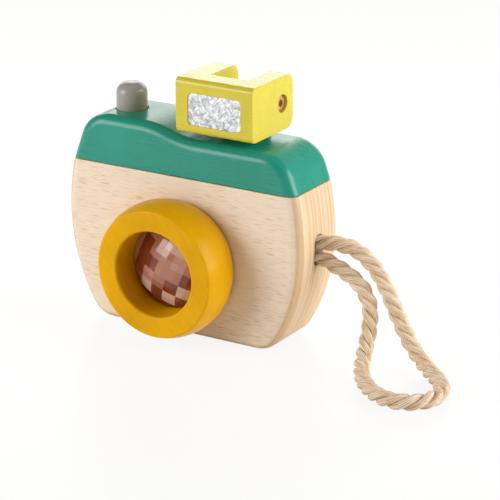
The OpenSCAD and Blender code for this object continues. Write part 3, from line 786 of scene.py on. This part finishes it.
# %% Helpers for finishes
def linear(hex_colour):
    """Turn an sRGB hex colour into the linear values that shaders work with."""
    shares = [int(hex_colour[i:i + 2], 16) / 255 for i in (1, 3, 5)]
    return [s / 12.92 if s <= 0.04045 else ((s + 0.055) / 1.055) ** 2.4 for s in shares] + [1]


def add_node(tree, kind, inputs=None, stops=(), **settings):
    """Add a node. An input is a value, an output, or a node whose first output is used."""
    node = tree.nodes.new(kind)
    for name, value in settings.items():
        setattr(node, name, value)
    for name, value in (inputs or {}).items():
        if isinstance(value, bpy.types.Node):
            value = next(output for output in value.outputs if output.enabled)
        if isinstance(value, bpy.types.NodeSocket):
            tree.links.new(value, node.inputs[name])
        else:
            node.inputs[name].default_value = value
    for i, (position, colour) in enumerate(stops):
        elements = node.color_ramp.elements
        element = elements[i] if i < len(elements) else elements.new(position)
        element.position, element.color = position, linear(colour)
    return node


def new_finish(name):
    """A material with an empty tree and its Object coordinates."""
    finish = bpy.data.materials.new(name)
    finish.use_nodes = True
    finish.node_tree.nodes.clear()
    place = add_node(finish.node_tree, "ShaderNodeTexCoord").outputs["Object"]
    print("finish:", name)
    return finish, finish.node_tree, place


# %% [markdown]
# ## Beech
# Beech is pale and plain. On the broad faces its rays are cut through as short brown dashes along
# the grain, a few millimetres long and thinner than half a millimetre. On the ends the year rings
# show instead, as straight soft lines. Just behind the front, a tan strip of painted shade darkens
# the rounding and the ends, where the rounding gets little light from the front lamp or the right
# one. It leans back, so the strip widens towards the foot. A noise that is stretched along the
# grain gives the dashes, and one that changes only through the board's thickness gives the rings.
# The dashes fade where the surface turns off the broad face.

# %% Year rings of the beech, and a painted shade on its front rounding
# Where the painted shade lies behind the front, and how far it leans back.
PAINTED_SHADE_START, PAINTED_SHADE_END = (-14.3, -13.8), (-8.8, -7.4)  # depths between which it comes and goes
PAINTED_SHADE_LEAN = 0.06
beech, tree, place = new_finish("lacquered beech")
# Thin lacquer on beech gives the eye a pale, even cream with a dull shine and no deep gloss.
drift = add_node(tree, "ShaderNodeTexNoise", {"Vector": place, "Scale": 1 / 0.06, "Detail": 1})
sideways_drift = add_node(tree, "ShaderNodeVectorMath", {
    0: drift.outputs["Color"], 1: (0, 0.002, 0)}, operation="MULTIPLY")
drifted = add_node(tree, "ShaderNodeVectorMath", {0: place, 1: sideways_drift}, operation="ADD")
rings = add_node(tree, "ShaderNodeTexNoise", {
    "Vector": add_node(tree, "ShaderNodeMapping", {
        "Vector": drifted, "Scale": (1 / 0.5, 1 / 0.0017, 1 / 0.5)}),
    "Scale": 1, "Detail": 3, "Roughness": 0.55})
ring_colour = add_node(tree, "ShaderNodeValToRGB", {"Fac": rings}, stops=(
    (0.36, "#e8d3b5"), (0.5, "#dec5a2"), (0.6, "#d0ae84"), (0.7, "#dec5a2")))
facing = add_node(tree, "ShaderNodeNewGeometry").outputs["Normal"]
broad = add_node(tree, "ShaderNodeSeparateXYZ", {"Vector": facing}).outputs["Y"]
broad_face = add_node(tree, "ShaderNodeMath", {0: broad, 1: 2}, operation="POWER")
board = add_node(tree, "ShaderNodeMix", {
    0: broad_face, 6: ring_colour, 7: linear("#f4e5d2")}, data_type="RGBA")
through = add_node(tree, "ShaderNodeSeparateXYZ", {"Vector": drifted}).outputs
leaning = add_node(tree, "ShaderNodeMath", {
    0: through["Z"], 1: PAINTED_SHADE_LEAN, 2: through["Y"]}, operation="MULTIPLY_ADD")
painted_shade_near = add_node(tree, "ShaderNodeMapRange", {
    "Value": through["Y"], "From Min": PAINTED_SHADE_START[0] * MM, "From Max": PAINTED_SHADE_START[1] * MM,
    "To Min": 0, "To Max": 0.6})
painted_shade_far = add_node(tree, "ShaderNodeMapRange", {
    "Value": leaning, "From Min": PAINTED_SHADE_END[0] * MM, "From Max": PAINTED_SHADE_END[1] * MM,
    "To Min": 1, "To Max": 0})
painted_edge_shade = add_node(tree, "ShaderNodeMath", {0: painted_shade_near, 1: painted_shade_far}, operation="MULTIPLY")
# The tan here is painted shade on the rounding and the ends, not a darker ring of the wood.
with_painted_shade = add_node(tree, "ShaderNodeMix", {
    0: painted_edge_shade, 6: board, 7: linear("#c39f68")}, data_type="RGBA")

# %% Dashes of the beech
# The dashes and the pores are drawn a little coarser than real ones, so that they show.
dashes = add_node(tree, "ShaderNodeTexNoise", {
    "Vector": add_node(tree, "ShaderNodeMapping", {
        "Vector": place, "Scale": (1 / 0.0055, 1 / 0.02, 1 / 0.00032)}),
    "Scale": 1, "Detail": 0})
dash_mask = add_node(tree, "ShaderNodeMapRange", {
    "Value": dashes, "From Min": 0.58, "From Max": 0.76, "To Min": 0, "To Max": 0.45})
groups = add_node(tree, "ShaderNodeTexNoise", {"Vector": place, "Scale": 1 / 0.025, "Detail": 1})
thinning = add_node(tree, "ShaderNodeMapRange", {
    "Value": groups, "From Min": 0.35, "From Max": 0.6, "To Min": 0.35, "To Max": 1})
thinned = add_node(tree, "ShaderNodeMath", {0: dash_mask, 1: thinning}, operation="MULTIPLY")
fleck = add_node(tree, "ShaderNodeMath", {0: thinned, 1: broad_face}, operation="MULTIPLY")
pores = add_node(tree, "ShaderNodeTexNoise", {
    "Vector": add_node(tree, "ShaderNodeMapping", {
        "Vector": place, "Scale": (1 / 0.014, 1 / 0.0008, 1 / 0.0008)}),
    "Scale": 1, "Detail": 2})
pore_mask = add_node(tree, "ShaderNodeMapRange", {
    "Value": pores, "From Min": 0.4, "From Max": 0.75, "To Min": 0, "To Max": 0.2})
with_pores = add_node(tree, "ShaderNodeMix", {
    0: pore_mask, 6: with_painted_shade, 7: linear("#e2c49c")}, data_type="RGBA")
wood = add_node(tree, "ShaderNodeMix", {
    0: fleck, 6: with_pores, 7: linear("#b58a5c")}, data_type="RGBA")
dent = add_node(tree, "ShaderNodeBump", {
    "Height": fleck, "Strength": 0.15, "Distance": 0.0002}, invert=True)
shader = add_node(tree, "ShaderNodeBsdfPrincipled", {
    "Base Color": wood, "Roughness": 0.5, "IOR": 1.5, "Specular IOR Level": 0.35, "Normal": dent})
add_node(tree, "ShaderNodeOutputMaterial", {"Surface": shader})
print("beech:", len(tree.nodes), "nodes")


# %% [markdown]
# ## Paint
# The painted pieces are sprayed with a satin, water-based toy paint. A sprayed film is never quite
# even in colour, and the wood's grain still shows through it as fine lines and slight waves.

# %% Paints
def paint(name, hex_light, hex_deep, roughness, specular, grain_turn=0):
    """A satin paint over wood whose grain is turned by some degrees from X."""
    # Satin paint gives the eye one full, even colour with a soft shine and a hint of the grain.
    finish, tree, place = new_finish(name)
    cloud = add_node(tree, "ShaderNodeTexNoise", {"Vector": place, "Scale": 1 / 0.02, "Detail": 3})
    turned = add_node(tree, "ShaderNodeMapping", {
        "Vector": place, "Rotation": (0, math.radians(grain_turn), 0)})
    grain = add_node(tree, "ShaderNodeTexNoise", {
        "Vector": add_node(tree, "ShaderNodeMapping", {
            "Vector": turned, "Scale": (1 / 0.012, 1 / 0.0008, 1 / 0.0008)}),
        "Scale": 1, "Detail": 2})
    mixed = add_node(tree, "ShaderNodeMath", {
        0: grain, 1: 0.35, 2: cloud}, operation="MULTIPLY_ADD")
    tone = add_node(tree, "ShaderNodeMapRange", {
        "Value": mixed, "From Min": 0.43, "From Max": 0.93})
    colour = add_node(tree, "ShaderNodeValToRGB", {"Fac": tone}, stops=(
        (0, hex_deep), (1, hex_light)))
    wave = add_node(tree, "ShaderNodeBump", {
        "Height": grain, "Strength": 0.04, "Distance": 0.0002})
    uneven = add_node(tree, "ShaderNodeMapRange", {
        "Value": mixed, "From Min": 0.43, "From Max": 0.93,
        "To Min": roughness - 0.05, "To Max": roughness + 0.05})
    shader = add_node(tree, "ShaderNodeBsdfPrincipled", {
        "Base Color": colour, "Roughness": uneven, "IOR": 1.5, "Specular IOR Level": specular,
        "Normal": wave})
    add_node(tree, "ShaderNodeOutputMaterial", {"Surface": shader})
    return finish


green = paint("satin green paint", "#1f9985", "#198d79", 0.28, 0.42)
mustard = paint("satin mustard paint", "#f0b500", "#d9a000", 0.32, 0.12, grain_turn=-55)
lemon = paint("satin lemon paint", "#dccf3a", "#d1c330", 0.27, 0.5)
grey = paint("satin grey paint", "#a4a29e", "#999794", 0.3, 0.5, grain_turn=90)

# %% [markdown]
# ## Stone, foil, screws and rope
# The stone is acrylic, partly clear, with a rose tint. In a clear stone every flat bends the view
# to another place and so has a shade of its own. In a render so many flats turn dark, so each one
# here gets a painted shade, from a dark brown-red for the dark bore seen through it to near white
# for a painted reflection of the lamp, and lets only part of the light through. Foil and screws are
# bare metal, whose look is nearly all reflection, and the foil has painted glints too. The rope is
# spun plant fibre, dull and a little fuzzy, with painted shade in the grooves between its yarns.

# %% Stone
rose, tree, place = new_finish("rose acrylic")
# Moulded acrylic gives the eye flat, glossy facets of one even shade each. A grid of cells that
# lies on the facets gives each of them a painted shade: painted shade for the view into the bore,
# and painted reflection in the palest.
cell = FACET * MM
flats = add_node(tree, "ShaderNodeTexVoronoi", {
    "Vector": add_node(tree, "ShaderNodeMapping", {
        "Vector": place, "Location": (0, 0, LENS_Z * MM),
        "Rotation": (0, math.radians(FACET_TURN), 0), "Scale": (cell, 1, cell)},
        vector_type="TEXTURE"),
    "Scale": 1, "Randomness": 0})
shade_of_flat = add_node(tree, "ShaderNodeSeparateColor", {"Color": flats.outputs["Color"]})
# Dark stops are painted shade, the palest are painted reflections of the lamp.
facet_painted_shade = add_node(tree, "ShaderNodeValToRGB", {"Fac": shade_of_flat}, stops=(
    (0.42, "#9c4c2f"), (0.5, "#dfa088"), (0.76, "#e5ac96"), (0.84, "#ffe9e0")))
shader = add_node(tree, "ShaderNodeBsdfPrincipled", {
    "Base Color": facet_painted_shade, "Roughness": 0.08, "IOR": 1.49, "Transmission Weight": 0.55})
add_node(tree, "ShaderNodeOutputMaterial", {"Surface": shader})

# %% Foil
silver, tree, place = new_finish("crumpled aluminium foil")
# Crumpled foil gives the eye small bright and grey flakes, with no picture of the room in them.
# Here the flakes are painted glints in the foil's colour, over the crumpled mesh's own reflections.
painted_glint = add_node(tree, "ShaderNodeTexNoise", {
    "Vector": place, "Scale": 1 / 0.0026, "Detail": 3, "Roughness": 0.6, "Distortion": 1.5})
tone = add_node(tree, "ShaderNodeValToRGB", {"Fac": painted_glint}, stops=(
    (0.36, "#a3a6a9"), (0.6, "#ebecec")))
shader = add_node(tree, "ShaderNodeBsdfPrincipled", {
    "Base Color": tone, "Metallic": 1, "Roughness": 0.25})
add_node(tree, "ShaderNodeOutputMaterial", {"Surface": shader})

# %% Screws and spring
bronze, tree, place = new_finish("bronzed steel")
# Bronzed steel gives the eye a warm, brownish gold that is dark in the socket.
scratch = add_node(tree, "ShaderNodeTexNoise", {
    "Vector": add_node(tree, "ShaderNodeMapping", {
        "Vector": place, "Scale": (1 / 0.002, 1 / 0.0004, 1 / 0.0004)}),
    "Scale": 1, "Detail": 2})
tone = add_node(tree, "ShaderNodeValToRGB", {"Fac": scratch}, stops=(
    (0.35, "#cb9a5e"), (0.65, "#e6bf88")))
shader = add_node(tree, "ShaderNodeBsdfPrincipled", {
    "Base Color": tone, "Metallic": 1, "Roughness": 0.35})
add_node(tree, "ShaderNodeOutputMaterial", {"Surface": shader})

steel, tree, place = new_finish("spring steel wire")
# Drawn steel wire gives the eye a cool grey with one thin, bright line along each turn.
drawn = add_node(tree, "ShaderNodeTexNoise", {"Vector": place, "Scale": 1 / 0.0006, "Detail": 2})
tone = add_node(tree, "ShaderNodeValToRGB", {"Fac": drawn}, stops=(
    (0.35, "#a9acb0"), (0.65, "#c9ccd0")))
shader = add_node(tree, "ShaderNodeBsdfPrincipled", {
    "Base Color": tone, "Metallic": 1, "Roughness": 0.3})
add_node(tree, "ShaderNodeOutputMaterial", {"Surface": shader})

# %% Rope fibre
THREADS = 24
fibre, tree, place = new_finish("spun plant fibre")
# Spun fibre gives the eye dull, straw-coloured yarns with a soft fuzz, and the dark grooves between
# them are painted shade. Real fibres are thinner than 0.1 mm: these threads are coarser, so that
# they show.
yarn_uv = add_node(tree, "ShaderNodeUVMap", uv_map="yarns")
fibres = add_node(tree, "ShaderNodeTexNoise", {
    "Vector": add_node(tree, "ShaderNodeMapping", {
        "Vector": yarn_uv, "Scale": (THREADS, 1 / 0.006, 1)}),
    "Scale": 1, "Detail": 3, "Roughness": 0.6})
spun = add_node(tree, "ShaderNodeValToRGB", {"Fac": fibres}, stops=(
    (0.3, "#98683a"), (0.44, "#e6c8a2"), (0.6, "#fbf0e0")))
patches = add_node(tree, "ShaderNodeTexNoise", {"Vector": place, "Scale": 1 / 0.008, "Detail": 2})
patch_mask = add_node(tree, "ShaderNodeMapRange", {
    "Value": patches, "From Min": 0.35, "From Max": 0.7, "To Min": 0, "To Max": 0.3})
patched = add_node(tree, "ShaderNodeMix", {
    0: patch_mask, 6: spun, 7: linear("#e3c4a4")}, data_type="RGBA")
round_strand = add_node(tree, "ShaderNodeSeparateXYZ", {"Vector": yarn_uv}).outputs["X"]
# The patches also let the painted groove shade wander a little.
yarn_count = add_node(tree, "ShaderNodeMath", {
    0: round_strand, 1: YARNS, 2: patches}, operation="MULTIPLY_ADD")
off_ridge = add_node(tree, "ShaderNodeMath", {0: yarn_count, 1: 0.5}, operation="PINGPONG")
painted_groove_shade = add_node(tree, "ShaderNodeMapRange", {
    "Value": off_ridge, "From Min": 0.25, "From Max": 0.5, "To Min": 0, "To Max": 0.6})
# This colour is painted shade in the grooves between the yarns.
colour = add_node(tree, "ShaderNodeMix", {
    0: painted_groove_shade, 6: patched, 7: linear("#a37c4e")}, data_type="RGBA")
fuzz = add_node(tree, "ShaderNodeBump", {"Height": fibres, "Strength": 0.4, "Distance": 0.0003})
shader = add_node(tree, "ShaderNodeBsdfPrincipled", {
    "Base Color": colour, "Roughness": 0.85, "Normal": fuzz, "Sheen Weight": 0.3,
    "Sheen Roughness": 0.5})
add_node(tree, "ShaderNodeOutputMaterial", {"Surface": shader})

# %% Give every piece its finish
nodes = frame["nodes"]
finishes = {
    beech: [body, nodes["cover_dowel_left"], nodes["cover_dowel_right"], nodes["lens_pin"]],
    green: [cover, hinge],
    mustard: [ring],
    lemon: [flash],
    grey: [button],
    rose: [stone],
    silver: [foil],
    bronze: [screw, screw_left],
    steel: [spring],
    fibre: [rope]}
for finish, dressed in finishes.items():
    for piece in dressed:
        piece.data.materials.clear()
        piece.data.materials.append(finish)
print("finished pieces:", sum(len(dressed) for dressed in finishes.values()))

# %% [markdown]
# ## Studio
# The toy stands on a white, slightly shiny table in a dim, warm room. A low lamp on the left of the
# camera lights the front and makes the pale streak at the foot of the cover's rounded edge. The dim
# room makes the dark band above it. A long lamp behind makes the tops shine. A panel on the right,
# mostly behind the front, lights the ends and leaves a shadow beside the ring. The table glows only
# for the camera and in reflections, so it is white without more light on the toy.

# %% Floor
GLOW_SHARE = 0.88
clear_selection()
bpy.ops.mesh.primitive_plane_add(size=12, location=(0, 0, 0))
floor = bpy.context.object
floor.name = floor.data.name = "table"
table, tree, _ = new_finish("white table")
# A lacquered table gives the eye plain white with a faint mirror image.
shader = add_node(tree, "ShaderNodeBsdfPrincipled", {
    "Base Color": linear("#f4f4f4"), "Roughness": 0.25})
glow = add_node(tree, "ShaderNodeEmission", {"Color": (1, 1, 1, 1), "Strength": 1})
ray = add_node(tree, "ShaderNodeLightPath").outputs
mirrored = add_node(tree, "ShaderNodeMath", {
    0: ray["Is Glossy Ray"], 1: ray["Is Transmission Ray"]}, operation="MAXIMUM")
seen = add_node(tree, "ShaderNodeMath", {
    0: ray["Is Camera Ray"], 1: mirrored}, operation="MAXIMUM")
share = add_node(tree, "ShaderNodeMath", {0: seen, 1: GLOW_SHARE}, operation="MULTIPLY")
surface = add_node(tree, "ShaderNodeMixShader", {"Fac": share, 1: shader, 2: glow})
add_node(tree, "ShaderNodeOutputMaterial", {"Surface": surface})
floor.data.materials.append(table)

# %% Room
room = bpy.data.worlds.new("room")
bpy.context.scene.world = room
room.use_nodes = True
tree = room.node_tree
tree.nodes.clear()
looking = add_node(tree, "ShaderNodeTexCoord").outputs["Generated"]
height = add_node(tree, "ShaderNodeSeparateXYZ", {"Vector": looking}).outputs["Z"]
tone = add_node(tree, "ShaderNodeValToRGB", {"Fac": height}, stops=(
    (0.1, "#90836f"), (0.65, "#5d5343"), (1, "#ada18d")))
sky = add_node(tree, "ShaderNodeBackground", {"Color": tone, "Strength": 1})
add_node(tree, "ShaderNodeOutputWorld", {"Surface": sky})
print("room:", len(tree.nodes), "nodes")


# %% Lamps
def softbox(name, place, width, height, watts, aim=(0, 0, 0.05)):
    """A soft rectangular lamp that points at the toy."""
    lamp = bpy.data.objects.new(name, bpy.data.lights.new(name, "AREA"))
    lamp.data.shape = "RECTANGLE"
    lamp.data.size, lamp.data.size_y, lamp.data.energy = width, height, watts
    lamp.location = place
    lamp.rotation_euler = (Vector(aim) - Vector(place)).to_track_quat("-Z", "Y").to_euler()
    bpy.context.scene.collection.objects.link(lamp)


softbox("front left", (-0.7, -0.83, 0.42), width=0.8, height=0.65, watts=9.6)
softbox("behind", (-0.5, 1.2, 0.5), width=1.9, height=0.5, watts=9.6)
softbox("right", (1.13, 0.34, 0.46), width=1.05, height=0.8, watts=16.5)
bpy.context.scene.view_settings.view_transform = "Standard"
